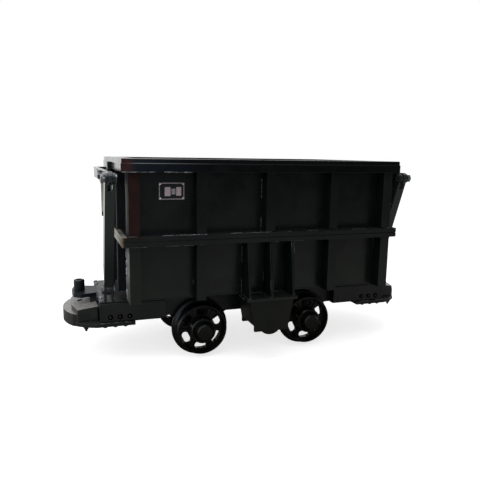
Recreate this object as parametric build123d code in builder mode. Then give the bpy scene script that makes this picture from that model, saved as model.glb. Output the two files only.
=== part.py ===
from build123d import *
import os
from math import hypot

# Side dump ore cart: a tub on a rail truck that tips to its far side when a roller is lifted.
# All sizes are in millimetres. X runs along the cart, -Y is the roller side and Z is up.
# The origin is on the floor, under the middle of the cart.

# Driving sizes
wheelbase = 800
tread_radius = 175
rim_half = 960
rim_top = 1368
half_width = 650
frame_half = 313
tub_bottom = 472

# Wheels and axles
flange_radius = tread_radius + 25
flange_width = 24
flange_edge = 8
wheel_inner_face = frame_half - 44
wheel_width = 100
wheel_rim_depth = 27
wheel_rim_lip = 13
wheel_web_place = 42
wheel_web = 22
wheel_edge = 5
hub_radius = tread_radius / 2
hub_draft = 6
hub_back = 7
hub_front = wheel_width + 31
hub_lip = 14
hub_dish = 9
cap_radius = 60
cap_front = hub_front + 45
cap_edge = 7
wheel_rib = 9
wheel_rib_height = 14
wheel_holes = 6
wheel_hole_length = 84
wheel_hole_width = 46
wheel_turn = 27
axle_radius = 35
axle_seat = 60
axle_z = flange_radius
axle_x = wheelbase / 2

# Clearances
running_clearance = 0.05
open_clearance = 1.0
side_gap = 1.0
rest_gap = 0.3
same_place = 1

# Linkage that lifts the door: four pins at the corners of a parallelogram, seen from the end
link_x = rim_half + 58
hinge_x = rim_half - 3
pin_level = tub_bottom + 33
lift_level = rim_top - 118
rod_foot = (-frame_half + 38, pin_level)
rod_top = (-half_width + 95, lift_level)
tub_hinge = (frame_half - 28, pin_level)
door_pivot = (tub_hinge[0] + rod_top[0] - rod_foot[0], lift_level)
rod_width = 60
rod_depth = 30
rod_eye = 28
rod_eye_radius = 32
rod_fork_slot = 75
rod_foot_slot = 42
rod_pin = 18
pin_head_rim = 8
pin_head = 9
pin_nut = 14
fork_nut_rim = 10
fork_nut = 24
ear = 16
ear_radius = 32
ear_foot = 88
hinge_lug = 30
lug_top_half = 50
lug_top_z = tub_bottom + 168
lug_web_z = pin_level + 51
pivot_pin = 20
pivot_plate = 25
pivot_plate_half = 42
pivot_plate_z = (lift_level - 40, rim_top - 29)
pivot_spacer = 34
pivot_nut = 17

# Truck frame
frame_end = link_x + 60
end_channel_flange = 58
sill_half = frame_half - end_channel_flange - 10
sill_z = (tub_bottom - 184, tub_bottom - 47)
sill_flange = 60
sill_web = 8
sill_flange_thickness = 10
end_channel_start = axle_x + 245
channel_corner = 14
headstock = 8
deck_start = frame_end - 210
deck_thickness = 8
deck_z = sill_z[1] + deck_thickness
base_start = frame_end - 228
base_thickness = 26
base_z = sill_z[0] - base_thickness
cross_outer = wheelbase * 0.8
cross_inner = 130
cross_width = 60
cross_inset = 12
pedestal_half_top = 210
pedestal_half_foot = 70
pedestal_thickness = 46

# Bumper castings with the coupling jaws
body_start = frame_end + 12
jaw_body_end = frame_end + 139
jaw_body_half = 240
jaw_body_top = sill_z[0] + 83
jaw_body_rise = 17
jaw_step = (jaw_body_end + 33, 100)
jaw_corner = 9
neck_half = 180
nose_end = jaw_body_end + 89
nose_shoulder = (jaw_body_end + 31, 202)
nose_z = (base_z - 6, jaw_body_top - 33)
base_end = jaw_body_end + 10
base_shoulder = (frame_end + 22, frame_half)
base_corner = (frame_end + 92, frame_half - 28)
pin_x = jaw_body_end - 24
pin_bore = 20
upper_jaw_z = (jaw_body_top + 52, jaw_body_top + 77)
upper_jaw_tip = pin_x + 50
upper_jaw_cheek = (pin_x + 39, 95)
upper_jaw_widest = (pin_x - 5, 128)
upper_jaw_root_half = 95
upper_block_end = frame_end + 52
upper_block_half = 105
guide_radius = 37
guide_edge = 6
guide_top = upper_jaw_z[1] + 76
guide_hole = 7
guide_hole_drop = 24

# Tub
tub_half = rim_half - 98
sheet = 8
floor_thickness = 10
belt_face_y = -half_width + 50
post_face_y = belt_face_y + 19
near_sheet_y = post_face_y + 91
post_return_y = near_sheet_y + 45
door_gap = 8
door_sheet_y = half_width - 56
tub_far_y = door_sheet_y - door_gap
far_post_y = tub_far_y - 74
rim_z = (rim_top - 79, rim_top)
rim_near_y = belt_face_y - 6
rim_far_y = tub_far_y - 12
rim_opening_far_y = far_post_y - 12
rim_lip_z = rim_top - 26
rim_lip_step = 4
rim_edge = 3
post_half = tub_half + 55
post_inner = tub_half - 13
post_shoulder_z = rim_z[0] - 69
far_post_face = rim_half - 5
belt_z = (tub_bottom + 366, tub_bottom + 429)
belt_seam = 4
rib_pitch = tub_half * 0.54
rib_places = (-rib_pitch, 0, rib_pitch)
rib_width = 63
rib_plate = 8
end_rib_face = rim_half - 15
end_rib_places = (-165, 165)
bearer_places = (-225, 215)
bearer_width = 40
bearer_half = tub_half - 12
bearer_drop = 32
rest_x = tub_half - 102
rest_length = 90

# Roller bracket on the near side
shelf_half = 180
shelf_thickness = 20
shelf_y = (-half_width, near_sheet_y + 106)
gusset_places = (-155, 0, 155)
gusset_thickness = 16
gusset_top_y = belt_face_y + 8
gusset_foot_y = -half_width + 6
gusset_foot_height = 18
housing_top_half = 156
housing_foot_half = 122
housing_knee_z = tub_bottom - 189
housing_bottom = tub_bottom - 227
housing_corner = 7
housing_plate = 12
housing_web = 10
housing_outer_y = -half_width + 12
housing_inner_y = shelf_y[1] - 4
roller_radius = 85
roller_edge = 6
roller_z = tub_bottom - 175
roller_pin = 20
roller_play = 2
roller_pin_rim = 3
roller_pin_head = 4
roller_pin_collar = 10

# Door and its two arms
door_half = rim_half + 5
door_lower_half = door_half - 25
arm = 26
arm_eye_radius = 40
arm_hump = (120, 62)
arm_top = rim_z[0] - 2
arm_foot = lift_level - 42
arm_toe = 30
top_rail_z = (arm_top - 65, arm_top)
door_step_z = belt_z[1] - 7
door_step = 30
door_bottom = tub_bottom + 10
door_rib_places = (-door_half + 85, -rib_pitch, 0, rib_pitch, door_half - 85)
bottom_rail = 55
leg = 15
leg_taper = 20

ENDS = (("left", -1), ("right", 1))
SIDES = (("near", -1), ("far", 1))


def save(piece, name):
    """Label a finished piece and write it to its own file."""
    piece.part.label = name
    export_step(piece.part, f"parts/{name}.step")


def block(x, y, z, mode=Mode.ADD):
    """Make a block between two limits on each axis."""
    with Locations(((x[0] + x[1]) / 2, (y[0] + y[1]) / 2, (z[0] + z[1]) / 2)):
        Box(abs(x[1] - x[0]), abs(y[1] - y[0]), abs(z[1] - z[0]), mode=mode)


def along_x(outline, x_from, x_to, mode=Mode.ADD):
    """Extrude an outline of (y, z) points from one X to another."""
    with BuildSketch(Plane.YZ.offset(x_from)) as face:
        with BuildLine():
            Polyline(*outline, close=True)
        make_face()
    extrude(face.sketch, amount=x_to - x_from, mode=mode)


def along_y(outline, y_from, y_to, mode=Mode.ADD):
    """Extrude an outline of (x, z) points from one Y to another."""
    with BuildSketch(Plane.XZ.offset(-y_from)) as face:
        with BuildLine():
            Polyline(*outline, close=True)
        make_face()
    extrude(face.sketch, amount=y_from - y_to, mode=mode)


def along_z(outline, z_from, z_to, mode=Mode.ADD):
    """Extrude an outline of (x, y) points from one Z to another."""
    with BuildSketch(Plane.XY.offset(z_from)) as face:
        with BuildLine():
            Polyline(*outline, close=True)
        make_face()
    extrude(face.sketch, amount=z_to - z_from, mode=mode)


def round_x(centre, radius, x_from, x_to, mode=Mode.ADD):
    """Extrude a circle at a (y, z) centre from one X to another."""
    with BuildSketch(Plane.YZ.offset(x_from)) as face:
        with Locations(centre):
            Circle(radius)
    extrude(face.sketch, amount=x_to - x_from, mode=mode)


def round_y(centre, radius, y_from, y_to, mode=Mode.ADD):
    """Extrude a circle at an (x, z) centre from one Y to another."""
    with BuildSketch(Plane.XZ.offset(-y_from)) as face:
        with Locations(centre):
            Circle(radius)
    extrude(face.sketch, amount=y_from - y_to, mode=mode)


def hex_x(centre, radius, x_from, x_to):
    """Extrude a hexagon at a (y, z) centre from one X to another."""
    with BuildSketch(Plane.YZ.offset(x_from)) as face:
        with Locations(centre):
            RegularPolygon(radius, 6)
    extrude(face.sketch, amount=x_to - x_from)


def slab(x, y, z, inset):
    """Make a block whose top is smaller than its foot by an inset on every side."""
    middle = ((x[0] + x[1]) / 2, (y[0] + y[1]) / 2)
    size = (x[1] - x[0], y[1] - y[0])
    levels = []
    for level, less in ((z[0], 0), (z[1], 2 * inset)):
        with BuildSketch(Plane.XY.offset(level)) as outline:
            with Locations(middle):
                Rectangle(size[0] - less, size[1] - less)
        levels.append(outline.sketch.face())
    loft(levels)


def channel(web, flange_tip, z, thickness, flange):
    """Points (y, z) of a channel whose web's back is at web and whose flanges end at flange_tip."""
    inward = 1 if flange_tip > web else -1
    return [
        (web, z[0]),
        (flange_tip, z[0]),
        (flange_tip, z[0] + flange),
        (web + inward * thickness, z[0] + flange),
        (web + inward * thickness, z[1] - flange),
        (flange_tip, z[1] - flange),
        (flange_tip, z[1]),
        (web, z[1]),
    ]


def both_sides(side, end):
    """Points (x, y) of an outline from those of its +Y side, at one end of the cart."""
    return [(end * x, y) for x, y in side] + [(end * x, -y) for x, y in reversed(side)]


def lug(centre, radius, foot_y, foot_z, x_from, x_to, bore):
    """Extrude a lug along X and bore its eye."""
    with BuildSketch(Plane.YZ.offset(x_from)) as face:
        with BuildLine():
            Polyline(
                (centre[0] - radius, centre[1]),
                (foot_y[0], foot_z),
                (foot_y[1], foot_z),
                (centre[0] + radius, centre[1]),
                close=True,
            )
        make_face()
        with Locations(centre):
            Circle(radius)
            Circle(bore, mode=Mode.SUBTRACT)
    extrude(face.sketch, amount=x_to - x_from)


# Truck frame


def make_sills():
    with BuildPart() as sills:
        for _, side in SIDES:
            web = side * sill_half
            outline = channel(web, web - side * sill_flange, sill_z, sill_web, sill_flange_thickness)
            along_x(outline, -frame_end + headstock, frame_end - headstock)
    save(sills, "sills")


def make_end_frames():
    with BuildPart() as channels:
        for _, end in ENDS:
            for _, side in SIDES:
                web = side * frame_half
                tip = web - side * end_channel_flange
                outline = channel(web, tip, sill_z, sill_web, sill_flange_thickness)
                along_x(outline, end * end_channel_start, end * (frame_end - headstock))
        outer = frame_half - same_place
        backs = channels.edges().filter_by(Axis.X).filter_by(lambda edge: abs(edge.center().Y) > outer)
        fillet(backs, channel_corner)
    save(channels, "end_channels")

    for name, end in ENDS:
        with BuildPart() as plate:
            outline = [
                (end * frame_end, sill_z[0]),
                (end * frame_end, deck_z),
                (end * deck_start, deck_z),
                (end * deck_start, sill_z[1]),
                (end * (frame_end - headstock), sill_z[1]),
                (end * (frame_end - headstock), sill_z[0]),
            ]
            along_y(outline, -frame_half, frame_half)
        save(plate, f"end_plate_{name}")

    with BuildPart() as bases:
        for _, end in ENDS:
            side = [(base_start, frame_half), base_shoulder, base_corner, (base_end, jaw_body_half)]
            along_z(both_sides(side, end), base_z, sill_z[0])
            with BuildSketch(Plane.XY.offset(base_z)) as bore:
                with Locations((end * pin_x, 0)):
                    Circle(pin_bore)
            extrude(bore.sketch, amount=base_thickness, mode=Mode.SUBTRACT)
    save(bases, "base_plates")


def make_cross_members():
    inside = sill_half - sill_web
    low = sill_z[0] + cross_inset
    high = sill_z[1] - cross_inset
    with BuildPart() as cross:
        for x in (-cross_outer, -cross_inner, cross_inner, cross_outer):
            outline = [
                (x - cross_width / 2, low),
                (x + cross_width / 2, low),
                (x + cross_width / 2, low + sill_web),
                (x - cross_width / 2 + sill_web, low + sill_web),
                (x - cross_width / 2 + sill_web, high - sill_web),
                (x + cross_width / 2, high - sill_web),
                (x + cross_width / 2, high),
                (x - cross_width / 2, high),
            ]
            along_y(outline, -inside, inside)
    save(cross, "cross_members")


def make_pedestals():
    outer = sill_half - sill_web
    with BuildPart() as pedestals:
        for _, end in ENDS:
            x = end * axle_x
            for _, side in SIDES:
                faces = (side * (outer - pedestal_thickness), side * outer)
                outline = [
                    (x - pedestal_half_top, sill_z[0]),
                    (x + pedestal_half_top, sill_z[0]),
                    (x + pedestal_half_foot, axle_z),
                    (x - pedestal_half_foot, axle_z),
                ]
                along_y(outline, *faces)
                round_y((x, axle_z), pedestal_half_foot, *faces)
                round_y((x, axle_z), axle_radius + running_clearance, *faces, mode=Mode.SUBTRACT)
    save(pedestals, "axle_pedestals")


# Wheels


def wheel_profile():
    """Points (distance from the axle, place across the wheel) of the rim, dished web and hub."""
    rim_inner = tread_radius - wheel_rim_depth
    web_front = wheel_web_place + wheel_web
    hub_foot = hub_radius + hub_draft
    return [
        (0, -hub_back),
        (hub_radius - 2 * hub_back, -hub_back),
        (hub_radius, hub_back),
        (hub_foot, wheel_web_place),
        (rim_inner, wheel_web_place),
        (rim_inner + hub_draft, 0),
        (flange_radius - flange_edge, 0),
        (flange_radius, flange_edge),
        (flange_radius, flange_width - flange_edge),
        (tread_radius + hub_draft, flange_width),
        (tread_radius, flange_width + flange_edge),
        (tread_radius, wheel_width - wheel_edge),
        (tread_radius - wheel_edge, wheel_width),
        (tread_radius - wheel_rim_lip, wheel_width),
        (rim_inner, web_front),
        (hub_foot, web_front),
        (hub_radius, hub_front - wheel_edge),
        (hub_radius - wheel_edge, hub_front),
        (hub_radius - hub_lip, hub_front),
        (cap_radius + wheel_edge, hub_front - hub_dish),
        (cap_radius, hub_front),
        (cap_radius - wheel_edge / 2, cap_front - cap_edge),
        (cap_radius - cap_edge - wheel_edge, cap_front),
        (0, cap_front),
    ]


def make_wheel(name, x, side):
    """Make one cast wheel about an axle along Y at x, on one side of the cart."""
    rim_inner = tread_radius - wheel_rim_depth
    middle = (hub_radius + hub_draft + rim_inner) / 2
    web_front = wheel_web_place + wheel_web
    hub = Plane(origin=(x, side * wheel_inner_face, axle_z), x_dir=(1, 0, 0), z_dir=(0, side, 0))
    section = Plane(origin=hub.origin, x_dir=(1, 0, 0), z_dir=(0, 0, side))
    with BuildPart() as wheel:
        with BuildSketch(section):
            with BuildLine():
                Polyline(*wheel_profile(), close=True)
            make_face()
        revolve(axis=Axis(hub.origin, hub.z_dir))
        with BuildSketch(hub.offset(wheel_web_place)):
            with PolarLocations(middle, wheel_holes, start_angle=wheel_turn):
                SlotOverall(wheel_hole_length, wheel_hole_width, rotation=90)
        extrude(amount=wheel_web, mode=Mode.SUBTRACT)
        with BuildSketch(hub.offset(web_front)):
            with PolarLocations(middle, wheel_holes, start_angle=wheel_turn + 180 / wheel_holes):
                Rectangle(rim_inner - hub_radius, wheel_rib)
        extrude(amount=wheel_rib_height)
        with BuildSketch(hub.offset(-hub_back)):
            Circle(axle_radius + running_clearance)
        extrude(amount=axle_seat + hub_back, mode=Mode.SUBTRACT)
    save(wheel, name)


def make_wheelsets():
    for end_name, end in ENDS:
        x = end * axle_x
        reach = wheel_inner_face + axle_seat
        with BuildPart() as axle:
            round_y((x, axle_z), axle_radius, -reach, reach)
        save(axle, f"axle_{end_name}")
        for side_name, side in SIDES:
            make_wheel(f"wheel_{end_name}_{side_name}", x, side)


# Bumper castings


def make_bumper(name, end):
    """Make one bumper: rounded nose, stepped body that rises to the truck, and the upper jaw on its block."""
    with BuildPart() as casting:
        body_top = jaw_body_top + jaw_body_rise
        body = both_sides([(body_start, jaw_body_half), (jaw_body_end, jaw_body_half), jaw_step], end)
        along_z(body, sill_z[0], body_top)
        above = [
            (end * body_start, body_top),
            (end * jaw_body_end, jaw_body_top),
            (end * nose_end, jaw_body_top),
            (end * nose_end, body_top + jaw_body_rise),
            (end * body_start, body_top + jaw_body_rise),
        ]
        along_y(above, -jaw_body_half, jaw_body_half, mode=Mode.SUBTRACT)
        upright = casting.edges().filter_by(Axis.Z)
        corners = upright.filter_by(lambda edge: abs(edge.center().X) > body_start + same_place)
        fillet(corners, jaw_corner)
        with BuildSketch(Plane.XY.offset(nose_z[0])):
            with BuildLine():
                Polyline(
                    (end * nose_shoulder[0], nose_shoulder[1]),
                    (end * (jaw_body_end - jaw_corner), jaw_body_half - jaw_corner / 2),
                    (end * (jaw_body_end - jaw_corner), -jaw_body_half + jaw_corner / 2),
                    (end * nose_shoulder[0], -nose_shoulder[1]),
                )
                ThreePointArc(
                    (end * nose_shoulder[0], -nose_shoulder[1]),
                    (end * nose_end, 0),
                    (end * nose_shoulder[0], nose_shoulder[1]),
                )
            make_face()
        extrude(amount=nose_z[1] - nose_z[0])
        under = (nose_z[0], sill_z[0])
        block((end * body_start, end * base_end), (-jaw_body_half, jaw_body_half), under, mode=Mode.SUBTRACT)
        block((end * frame_end, end * body_start), (-neck_half, neck_half), (sill_z[0], jaw_body_top))
        block(
            (end * frame_end, end * upper_block_end),
            (-upper_block_half, upper_block_half),
            (jaw_body_top, upper_jaw_z[0]),
        )
        with BuildSketch(Plane.XY.offset(upper_jaw_z[0])):
            with BuildLine():
                Polyline(
                    (end * upper_jaw_cheek[0], upper_jaw_cheek[1]),
                    (end * upper_jaw_widest[0], upper_jaw_widest[1]),
                    (end * frame_end, upper_jaw_root_half),
                    (end * frame_end, -upper_jaw_root_half),
                    (end * upper_jaw_widest[0], -upper_jaw_widest[1]),
                    (end * upper_jaw_cheek[0], -upper_jaw_cheek[1]),
                )
                ThreePointArc(
                    (end * upper_jaw_cheek[0], -upper_jaw_cheek[1]),
                    (end * upper_jaw_tip, 0),
                    (end * upper_jaw_cheek[0], upper_jaw_cheek[1]),
                )
            make_face()
        extrude(amount=upper_jaw_z[1] - upper_jaw_z[0])
        with BuildSketch(Plane.XY.offset(sill_z[0])):
            with Locations((end * pin_x, 0)):
                Circle(pin_bore)
        extrude(amount=upper_jaw_z[1] - sill_z[0], mode=Mode.SUBTRACT)
    save(casting, f"bumper_{name}")


def make_pin_guides():
    with BuildPart() as guides:
        for _, end in ENDS:
            with BuildSketch(Plane.XY.offset(upper_jaw_z[1])):
                with Locations((end * pin_x, 0)):
                    Circle(guide_radius)
            extrude(amount=guide_top - upper_jaw_z[1])
        tops = guides.edges().filter_by(GeomType.CIRCLE).group_by(Axis.Z)[-1]
        chamfer(tops, guide_edge)
        for _, end in ENDS:
            with BuildSketch(Plane.XY.offset(upper_jaw_z[1])):
                with Locations((end * pin_x, 0)):
                    Circle(pin_bore)
            extrude(amount=guide_top - upper_jaw_z[1], mode=Mode.SUBTRACT)
            wall = (end * (pin_x - guide_radius), end * (pin_x + guide_radius))
            round_x((0, guide_top - guide_hole_drop), guide_hole, *wall, mode=Mode.SUBTRACT)
    save(guides, "pin_guides")


# Brackets on the truck's deck


def make_deck_brackets():
    """Make the ears on the deck, in pairs: each fork has its eye, its middle and its tongue."""
    forks = (
        ("rod_brackets", rod_foot, -1, link_x, rod_eye),
        ("hinge_brackets", tub_hinge, 1, hinge_x, hinge_lug),
    )
    for name, eye, side, middle, tongue in forks:
        foot_y = sorted((side * frame_half, side * (frame_half - ear_foot)))
        with BuildPart() as bracket:
            for _, end in ENDS:
                for inner in (tongue / 2 + side_gap, -tongue / 2 - side_gap - ear):
                    faces = (end * (middle + inner), end * (middle + inner + ear))
                    lug(eye, ear_radius, foot_y, deck_z, *faces, rod_pin + running_clearance)
        save(bracket, name)

    with BuildPart() as pins:
        for _, end in ENDS:
            for _, eye, _, middle, tongue in forks:
                reach = tongue / 2 + side_gap + ear
                head = rod_pin + pin_head_rim
                round_x(eye, rod_pin, end * (middle - reach), end * (middle + reach))
                round_x(eye, head, end * (middle - reach - pin_head), end * (middle - reach))
                hex_x(eye, head, end * (middle + reach), end * (middle + reach + pin_nut))
    save(pins, "frame_pins")


def make_rests():
    top = tub_bottom - bearer_drop - rest_gap
    with BuildPart() as rests:
        for _, end in ENDS:
            for y in bearer_places:
                block(
                    (end * (rest_x - rest_length / 2), end * (rest_x + rest_length / 2)),
                    (y - bearer_width / 2, y + bearer_width / 2),
                    (sill_z[1], top),
                )
    save(rests, "tub_rests")


# Tub


def make_tub_sheets():
    floor_top = tub_bottom + floor_thickness
    inner_near = near_sheet_y + sheet
    with BuildPart() as floor:
        block((-tub_half, tub_half), (near_sheet_y, tub_far_y), (tub_bottom, floor_top))
    save(floor, "tub_floor")

    with BuildPart() as wall:
        block((-tub_half, tub_half), (near_sheet_y, inner_near), (floor_top, rim_z[0]))
    save(wall, "tub_near_wall")

    outline = [
        (inner_near, floor_top),
        (tub_far_y, floor_top),
        (tub_far_y, post_shoulder_z),
        (rim_far_y, rim_z[0]),
        (inner_near, rim_z[0]),
    ]
    for name, end in ENDS:
        with BuildPart() as end_wall:
            along_x(outline, end * (tub_half - sheet), end * tub_half)
        save(end_wall, f"tub_end_wall_{name}")

    with BuildPart() as bearers:
        for y in bearer_places:
            block(
                (-bearer_half, bearer_half),
                (y - bearer_width / 2, y + bearer_width / 2),
                (tub_bottom - bearer_drop, tub_bottom),
            )
    save(bearers, "floor_bearers")


def make_tub_frame():
    with BuildPart() as rim:
        wide = (-rim_half, rim_half)
        deep = (rim_near_y, rim_far_y)
        narrow = (-rim_half + rim_lip_step, rim_half - rim_lip_step)
        shallow = (rim_near_y + rim_lip_step, rim_far_y - rim_lip_step)
        block(wide, deep, (rim_z[0], rim_lip_z - rim_lip_step))
        slab(wide, deep, (rim_lip_z - rim_lip_step, rim_lip_z), rim_lip_step)
        block(narrow, shallow, (rim_lip_z, rim_z[1] - rim_edge))
        slab(narrow, shallow, (rim_z[1] - rim_edge, rim_z[1]), rim_edge)
        block(
            (-tub_half + sheet, tub_half - sheet),
            (near_sheet_y + sheet, rim_opening_far_y),
            rim_z,
            mode=Mode.SUBTRACT,
        )
    save(rim, "tub_rim")

    seam_z = (belt_z[0] + belt_z[1]) / 2
    bands = (
        (belt_z[0], seam_z - belt_seam / 2, 0),
        (seam_z - belt_seam / 2, seam_z + belt_seam / 2, belt_seam),
        (seam_z + belt_seam / 2, belt_z[1], 0),
    )
    with BuildPart() as belt:
        for low, high, inset in bands:
            outline = [
                (-rim_half + inset, far_post_y),
                (-rim_half + inset, belt_face_y + inset),
                (rim_half - inset, belt_face_y + inset),
                (rim_half - inset, far_post_y),
                (tub_half, far_post_y),
                (tub_half, near_sheet_y),
                (-tub_half, near_sheet_y),
                (-tub_half, far_post_y),
            ]
            along_z(outline, low, high)
    save(belt, "tub_belt")

    levels = ((tub_bottom, belt_z[0]), (belt_z[1], rim_z[0]))
    with BuildPart() as posts:
        for _, end in ENDS:
            for low, high in levels:
                outline = [
                    (end * post_inner, near_sheet_y),
                    (end * post_inner, post_face_y),
                    (end * post_half, post_face_y),
                    (end * post_half, post_return_y),
                    (end * tub_half, post_return_y),
                    (end * tub_half, near_sheet_y),
                ]
                along_z(outline, low, high)
            far_outline = [
                (far_post_y, tub_bottom),
                (tub_far_y, tub_bottom),
                (tub_far_y, post_shoulder_z),
                (rim_far_y, rim_z[0]),
                (far_post_y, rim_z[0]),
            ]
            along_x(far_outline, end * tub_half, end * far_post_face)
    save(posts, "corner_posts")

    with BuildPart() as ribs:
        for x in rib_places:
            for low, high in levels:
                if x == 0 and high == belt_z[0]:
                    continue
                outline = [
                    (x - rib_width / 2, near_sheet_y),
                    (x - rib_width / 2, post_face_y),
                    (x + rib_width / 2, post_face_y),
                    (x + rib_width / 2, near_sheet_y),
                    (x + rib_width / 2 - rib_plate, near_sheet_y),
                    (x + rib_width / 2 - rib_plate, post_face_y + rib_plate),
                    (x - rib_width / 2 + rib_plate, post_face_y + rib_plate),
                    (x - rib_width / 2 + rib_plate, near_sheet_y),
                ]
                along_z(outline, low, high)
    save(ribs, "side_ribs")

    with BuildPart() as end_ribs:
        for _, end in ENDS:
            for y in end_rib_places:
                for low, high in levels:
                    outline = [
                        (end * tub_half, y - rib_width / 2),
                        (end * end_rib_face, y - rib_width / 2),
                        (end * end_rib_face, y + rib_width / 2),
                        (end * tub_half, y + rib_width / 2),
                        (end * tub_half, y + rib_width / 2 - rib_plate),
                        (end * (end_rib_face - rib_plate), y + rib_width / 2 - rib_plate),
                        (end * (end_rib_face - rib_plate), y - rib_width / 2 + rib_plate),
                        (end * tub_half, y - rib_width / 2 + rib_plate),
                    ]
                    along_z(outline, low, high)
    save(end_ribs, "end_ribs")


def make_tub_hinges():
    with BuildPart() as lugs:
        for _, end in ENDS:
            inner_face = end * (hinge_x - hinge_lug / 2)
            top_y = (tub_hinge[0] - lug_top_half, tub_hinge[0] + lug_top_half)
            outer_face = end * (hinge_x + hinge_lug / 2)
            bore = rod_pin + running_clearance
            lug(tub_hinge, ear_radius, top_y, lug_top_z, inner_face, outer_face, bore)
            block((end * tub_half, inner_face), top_y, (lug_web_z, lug_top_z))
    save(lugs, "tub_hinge_lugs")

    with BuildPart() as brackets:
        for _, end in ENDS:
            plate = (end * rim_half, end * (rim_half + pivot_plate))
            plate_y = (door_pivot[0] - pivot_plate_half, door_pivot[0] + pivot_plate_half)
            block(plate, plate_y, pivot_plate_z)
            round_x(door_pivot, pivot_spacer, end * tub_half, end * rim_half)
            bore = pivot_pin + running_clearance
            round_x(door_pivot, bore, end * tub_half, plate[1], mode=Mode.SUBTRACT)
    save(brackets, "door_pivot_brackets")

    collar = rim_half + pivot_plate
    arm_in = link_x - arm / 2
    arm_out = link_x + arm / 2
    with BuildPart() as pins:
        for _, end in ENDS:
            round_x(door_pivot, pivot_pin, end * tub_half, end * (arm_out + side_gap))
            round_x(door_pivot, pivot_spacer, end * collar, end * (arm_in - side_gap))
            nut = arm_out + side_gap
            hex_x(door_pivot, pivot_spacer, end * nut, end * (nut + pivot_nut))
    save(pins, "door_pivot_pins")


# Roller and its bracket


def housing_outline():
    return [
        (-housing_top_half, tub_bottom - shelf_thickness),
        (housing_top_half, tub_bottom - shelf_thickness),
        (housing_foot_half, housing_knee_z),
        (housing_foot_half, housing_bottom),
        (-housing_foot_half, housing_bottom),
        (-housing_foot_half, housing_knee_z),
    ]


def make_roller_bracket():
    with BuildPart() as bracket:
        block((-shelf_half, shelf_half), shelf_y, (tub_bottom - shelf_thickness, tub_bottom))
        for x in gusset_places:
            outline = [
                (near_sheet_y, belt_z[0]),
                (gusset_top_y, belt_z[0]),
                (gusset_foot_y, tub_bottom + gusset_foot_height),
                (gusset_foot_y, tub_bottom),
                (near_sheet_y, tub_bottom),
            ]
            along_x(outline, x - gusset_thickness / 2, x + gusset_thickness / 2)
    save(bracket, "roller_bracket")

    with BuildPart() as plates:
        for outer in (housing_outer_y, housing_inner_y - housing_plate):
            with BuildSketch(Plane.XZ.offset(-outer)) as outline:
                with BuildLine():
                    Polyline(*housing_outline(), close=True)
                make_face()
                fillet(outline.vertices().group_by(Axis.Y)[0], housing_corner)
                with Locations((0, roller_z)):
                    Circle(roller_pin + running_clearance, mode=Mode.SUBTRACT)
            extrude(amount=-housing_plate)
    save(plates, "roller_plates")

    with BuildPart() as webs:
        for _, end in ENDS:
            outline = [
                (end * housing_top_half, tub_bottom - shelf_thickness),
                (end * housing_foot_half, housing_knee_z),
                (end * (housing_foot_half - housing_web), housing_knee_z),
                (end * (housing_top_half - housing_web), tub_bottom - shelf_thickness),
            ]
            along_y(outline, housing_outer_y + housing_plate, housing_inner_y - housing_plate)
    save(webs, "roller_webs")

    inside = (housing_outer_y + housing_plate, housing_inner_y - housing_plate)
    with BuildPart() as pin:
        round_y((0, roller_z), roller_pin, housing_outer_y, housing_inner_y)
        head = (housing_outer_y - roller_pin_head, housing_outer_y)
        round_y((0, roller_z), roller_pin + roller_pin_rim, *head)
        round_y((0, roller_z), roller_pin + roller_pin_collar, housing_inner_y, housing_inner_y + pin_head)
    save(pin, "roller_pin")

    with BuildPart() as roller:
        ends = (inside[0] + roller_play, inside[1] - roller_play)
        round_y((0, roller_z), roller_radius, *ends)
        rims = roller.edges().filter_by(GeomType.CIRCLE).group_by(Axis.Y)
        chamfer(rims[0] + rims[-1], roller_edge)
        round_y((0, roller_z), roller_pin + running_clearance, *ends, mode=Mode.SUBTRACT)
    save(roller, "roller")


# Door


def make_door():
    back = door_sheet_y + sheet
    with BuildPart() as panel:
        outline = [
            (-door_half, arm_top),
            (-door_half, door_step_z),
            (-door_lower_half, door_step_z - door_step),
            (-door_lower_half, door_bottom),
            (door_lower_half, door_bottom),
            (door_lower_half, door_step_z - door_step),
            (door_half, door_step_z),
            (door_half, arm_top),
        ]
        along_y(outline, door_sheet_y, back)
    save(panel, "door_panel")

    with BuildPart() as rail:
        reach = link_x - arm / 2
        block((-door_half, door_half), (back, half_width), top_rail_z)
        for _, end in ENDS:
            block((end * door_half, end * reach), (door_sheet_y, half_width), top_rail_z)
    save(rail, "door_top_rail")

    with BuildPart() as ribs:
        for x in door_rib_places:
            block(
                (x - rib_width / 2, x + rib_width / 2),
                (back, half_width),
                (door_bottom + bottom_rail, top_rail_z[0]),
            )
        rail_z = (door_bottom, door_bottom + bottom_rail)
        block((-door_lower_half, door_lower_half), (back, half_width), rail_z)
        for _, end in ENDS:
            outline = [
                (door_sheet_y, top_rail_z[0]),
                (half_width, top_rail_z[0]),
                (half_width - leg_taper, door_step_z),
                (door_sheet_y, door_step_z),
            ]
            along_x(outline, end * door_half, end * (door_half + leg))
    save(ribs, "door_ribs")

    for name, end in ENDS:
        faces = (end * (link_x - arm / 2), end * (link_x + arm / 2))
        with BuildPart() as lever:
            outline = [
                (rod_top[0], arm_top),
                (half_width, arm_top),
                (half_width - arm_toe, arm_foot),
                (door_pivot[0] + arm_hump[0], arm_foot),
                (door_pivot[0], door_pivot[1] - arm_hump[1]),
                (door_pivot[0] - arm_hump[0], arm_foot),
                (rod_top[0], rod_top[1] - arm_eye_radius),
            ]
            along_x(outline, *faces)
            round_x(rod_top, arm_eye_radius, *faces)
            round_x(rod_top, rod_pin + open_clearance, *faces, mode=Mode.SUBTRACT)
            round_x(door_pivot, pivot_pin + running_clearance, *faces, mode=Mode.SUBTRACT)
        save(lever, f"door_arm_{name}")


# Tie rods from the truck to the door's arms


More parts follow.
